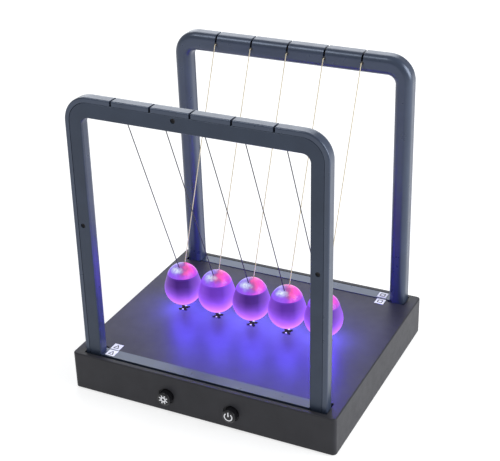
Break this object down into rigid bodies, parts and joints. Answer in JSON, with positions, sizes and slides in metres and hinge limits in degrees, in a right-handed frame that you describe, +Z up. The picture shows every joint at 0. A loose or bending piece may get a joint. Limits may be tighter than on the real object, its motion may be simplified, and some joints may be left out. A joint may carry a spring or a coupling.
{
  "type": "newtons cradle",
  "caption": "Light-up Newton's cradle: frosted light balls hanging on wire pairs between two rounded upright frames on a box base with push buttons.",
  "frame": {"origin": "bottom centre of the object's bounding box, at the feet; the buttons count, so the row of balls is 2.1 mm behind it", "axes": "+X along the row of balls to the right seen from the button side, +Y from the button side to the back, +Z up"},
  "size_m": [0.1778, 0.1556, 0.1964],
  "materials": {
    "base_plastic": "fine satin texture",
    "frame_plastic": "satin",
    "cover_plastic": "satin",
    "button_plastic": "gloss",
    "marker_plastic": "gloss",
    "inner_plastic": "matte",
    "foot_rubber": "matte",
    "screw_steel": "blackened",
    "contact_steel": "nickel plated",
    "strip_brass": "plain",
    "ferrule_black": "black lacquered",
    "cell_sleeve": "gloss",
    "board_green": "solder mask",
    "ball_frosted": "frosted, lit from inside",
    "ball_clear": "clear plastic",
    "led_lens": "clear",
    "wire_dark": "enamelled",
    "wire_pale": "enamelled",
    "lead_sleeve": "matte",
    "sticker": "coated"
  },
  "bodies": {
    "base": {"base_shell": "base_plastic", "base_floor": "inner_plastic", "battery_door": "inner_plastic", "rubber_feet": "foot_rubber", "base_screws": "screw_steel", "battery_cells": "cell_sleeve", "battery_contacts": "contact_steel", "control_board": "board_green", "switch_bodies": "button_plastic", "wiring": "lead_sleeve", "base_markers": "marker_plastic", "labels": "sticker", "front_frame": "frame_plastic", "front_frame_cover": "cover_plastic", "front_bus_strip": "strip_brass", "back_frame": "frame_plastic", "back_frame_cover": "cover_plastic", "back_bus_strip": "strip_brass", "cover_screws": "screw_steel"},
    "light_button": {"light_button": "button_plastic", "light_switch_plunger": "inner_plastic"},
    "power_button": {"power_button": "button_plastic", "power_switch_plunger": "inner_plastic"},
    "ball_1": {"ball_shell_1": "ball_frosted", "ball_cap_1": "ball_clear", "ball_board_1": "board_green", "ball_leds_1": "led_lens", "front_wire_1": "wire_dark", "back_wire_1": "wire_pale"},
    "ball_2": {"ball_shell_2": "ball_frosted", "ball_cap_2": "ball_clear", "ball_board_2": "board_green", "ball_leds_2": "led_lens", "front_wire_2": "wire_dark", "back_wire_2": "wire_pale"},
    "ball_3": {"ball_shell_3": "ball_frosted", "ball_cap_3": "ball_clear", "ball_board_3": "board_green", "ball_leds_3": "led_lens", "front_wire_3": "wire_dark", "back_wire_3": "wire_pale", "ferrules_3": "ferrule_black"},
    "ball_4": {"ball_shell_4": "ball_frosted", "ball_cap_4": "ball_clear", "ball_board_4": "board_green", "ball_leds_4": "led_lens", "front_wire_4": "wire_dark", "back_wire_4": "wire_pale"},
    "ball_5": {"ball_shell_5": "ball_frosted", "ball_cap_5": "ball_clear", "ball_board_5": "board_green", "ball_leds_5": "led_lens", "front_wire_5": "wire_dark", "back_wire_5": "wire_pale"},
    "carrier_2": {"ferrules_2": "ferrule_black"},
    "carrier_4": {"ferrules_4": "ferrule_black"},
    "carrier_1a": {"front_ferrule_1": "ferrule_black"},
    "carrier_1b": {"back_ferrule_1": "ferrule_black"},
    "carrier_5a": {"front_ferrule_5": "ferrule_black"},
    "carrier_5b": {"back_ferrule_5": "ferrule_black"}
  },
  "joints": [
    {"name": "middle_swing", "type": "hinge", "parent": "base", "child": "ball_3", "pos_m": [0, 0.0021, 0.1906], "axis": [0, 1, 0], "range_deg": [-20, 20]},
    {"name": "carrier_2_swing", "type": "hinge", "parent": "base", "child": "carrier_2", "pos_m": [-0.025, 0.0021, 0.1906], "axis": [0, 1, 0], "range_deg": [-20, 20]},
    {"name": "ball_2_swing", "type": "hinge", "parent": "carrier_2", "child": "ball_2", "pos_m": [-0.025, 0.0021, 0.1906], "axis": [0, 1, 0], "range_deg": [0, 20]},
    {"name": "carrier_1_swing", "type": "hinge", "parent": "base", "child": "carrier_1a", "pos_m": [-0.05, 0.0021, 0.1906], "axis": [0, 1, 0], "range_deg": [-20, 20]},
    {"name": "carrier_1_follow", "type": "hinge", "parent": "carrier_1a", "child": "carrier_1b", "pos_m": [-0.05, 0.0021, 0.1906], "axis": [0, 1, 0], "range_deg": [0, 20]},
    {"name": "ball_1_swing", "type": "hinge", "parent": "carrier_1b", "child": "ball_1", "pos_m": [-0.05, 0.0021, 0.1906], "axis": [0, 1, 0], "range_deg": [0, 40]},
    {"name": "carrier_4_swing", "type": "hinge", "parent": "base", "child": "carrier_4", "pos_m": [0.025, 0.0021, 0.1906], "axis": [0, 1, 0], "range_deg": [-20, 20]},
    {"name": "ball_4_swing", "type": "hinge", "parent": "carrier_4", "child": "ball_4", "pos_m": [0.025, 0.0021, 0.1906], "axis": [0, 1, 0], "range_deg": [-20, 0]},
    {"name": "carrier_5_swing", "type": "hinge", "parent": "base", "child": "carrier_5a", "pos_m": [0.05, 0.0021, 0.1906], "axis": [0, 1, 0], "range_deg": [-20, 20]},
    {"name": "carrier_5_follow", "type": "hinge", "parent": "carrier_5a", "child": "carrier_5b", "pos_m": [0.05, 0.0021, 0.1906], "axis": [0, 1, 0], "range_deg": [-20, 0]},
    {"name": "ball_5_swing", "type": "hinge", "parent": "carrier_5b", "child": "ball_5", "pos_m": [0.05, 0.0021, 0.1906], "axis": [0, 1, 0], "range_deg": [-40, 0]},
    {"name": "light_press", "type": "slide", "parent": "base", "child": "light_button", "axis": [0, 1, 0], "range_m": [0, 0.0008], "stiffness_N_per_m": 400, "springref_m": -0.0003},
    {"name": "power_press", "type": "slide", "parent": "base", "child": "power_button", "axis": [0, 1, 0], "range_m": [0, 0.0008], "stiffness_N_per_m": 400, "springref_m": -0.0003}
  ],
  "couplings": [
    {"joint": "carrier_2_swing", "follows": "middle_swing", "ratio": 1},
    {"joint": "carrier_4_swing", "follows": "middle_swing", "ratio": 1},
    {"joint": "carrier_1_swing", "follows": "middle_swing", "ratio": 1},
    {"joint": "carrier_5_swing", "follows": "middle_swing", "ratio": 1},
    {"joint": "carrier_1_follow", "follows": "ball_2_swing", "ratio": 1},
    {"joint": "carrier_5_follow", "follows": "ball_4_swing", "ratio": 1}
  ]
}
